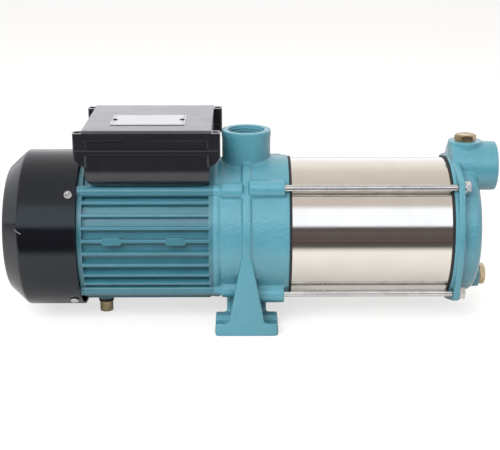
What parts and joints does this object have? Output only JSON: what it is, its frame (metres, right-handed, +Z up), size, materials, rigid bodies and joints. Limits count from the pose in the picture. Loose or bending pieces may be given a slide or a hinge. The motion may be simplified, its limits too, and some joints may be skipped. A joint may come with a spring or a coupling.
{
  "type": "self-priming pump",
  "caption": "Horizontal self-priming multistage water pump with a finned motor, polished sleeve, tie rods, threaded ports, plugs and a bolt-down foot.",
  "frame": {"origin": "on the floor at the centre of the foot's four bolt holes, under the discharge port and the shaft", "axes": "+X along the shaft towards the suction end, +Z up out of the discharge port, -Y the front"},
  "size_m": [0.4342, 0.1489, 0.1829],
  "materials": {
    "teal_casting": "teal paint on rough cast iron",
    "teal_aluminium": "teal paint on extruded aluminium",
    "black_paint": "satin black paint on pressed steel",
    "black_plastic": "glossy moulded",
    "fan_plastic": "moulded",
    "stage_plastic": "moulded, off-white",
    "white_plastic": "moulded",
    "polished_stainless": "mirror-polished stainless tube",
    "bright_steel": "bright zinc",
    "bearing_steel": "ground",
    "laminations": "stacked sheet steel",
    "copper": "varnished copper wire",
    "bare_aluminium": "die-cast",
    "plate_aluminium": "brushed plate, left bare",
    "brass": "turned",
    "black_rubber": "moulded",
    "ceramic": "lapped",
    "copper_ring": "annealed copper, dulled"
  },
  "bodies": {
    "pump_body": {"pump_casing": "teal_casting", "suction_cover": "teal_casting", "pump_sleeve": "polished_stainless", "sleeve_gaskets": "black_rubber", "tie_rods": "bright_steel", "tie_rod_nuts": "bright_steel", "tie_rod_washers": "bright_steel", "inlet_plate": "stage_plastic", "diffuser_1": "stage_plastic", "diffuser_2": "stage_plastic", "diffuser_3": "stage_plastic", "diffuser_4": "stage_plastic", "seal_seat": "ceramic", "drive_bearing_outer": "bearing_steel", "drive_bearing_balls": "bearing_steel", "rear_bearing_outer": "bearing_steel", "rear_bearing_balls": "bearing_steel", "wave_washer": "bearing_steel", "motor_housing": "teal_aluminium", "rear_end_shield": "teal_aluminium", "motor_through_bolts": "bright_steel", "stator_core": "laminations", "stator_windings": "copper", "fan_cover": "black_paint", "fan_cover_screws": "bright_steel", "terminal_box_base": "black_plastic", "terminal_box_gasket": "black_rubber", "terminal_box_lid": "black_plastic", "terminal_lid_screws": "bright_steel", "nameplate": "plate_aluminium", "nameplate_rivets": "bearing_steel", "capacitor": "white_plastic", "terminal_block": "white_plastic", "gland_body": "black_plastic", "gland_nut": "black_plastic", "gland_seal": "black_rubber", "support_stud": "brass", "support_collar": "black_rubber"},
    "rotor": {"shaft": "bearing_steel", "rotor_core": "laminations", "rotor_end_rings": "bare_aluminium", "drive_bearing_inner": "bearing_steel", "rear_bearing_inner": "bearing_steel", "cooling_fan": "fan_plastic", "fan_clip": "bearing_steel", "impeller_1": "stage_plastic", "impeller_2": "stage_plastic", "impeller_3": "stage_plastic", "impeller_4": "stage_plastic", "impeller_spacers": "bearing_steel", "impeller_nut": "bearing_steel", "seal_head": "ceramic", "seal_spring": "bearing_steel", "water_slinger": "black_rubber"},
    "priming_closure": {"priming_plug": "brass", "priming_washer": "copper_ring"},
    "drain_closure": {"drain_plug": "brass", "drain_washer": "copper_ring"}
  },
  "joints": [
    {"name": "rotor_spin", "type": "hinge", "parent": "pump_body", "child": "rotor", "pos_m": [0, 0, 0.081], "axis": [1, 0, 0], "continuous": true},
    {"name": "priming_plug_out", "type": "slide", "parent": "pump_body", "child": "priming_closure", "axis": [0, 0, 1], "range_m": [0, 0.03]},
    {"name": "drain_plug_out", "type": "slide", "parent": "pump_body", "child": "drain_closure", "axis": [1, 0, 0], "range_m": [0, 0.025]}
  ]
}
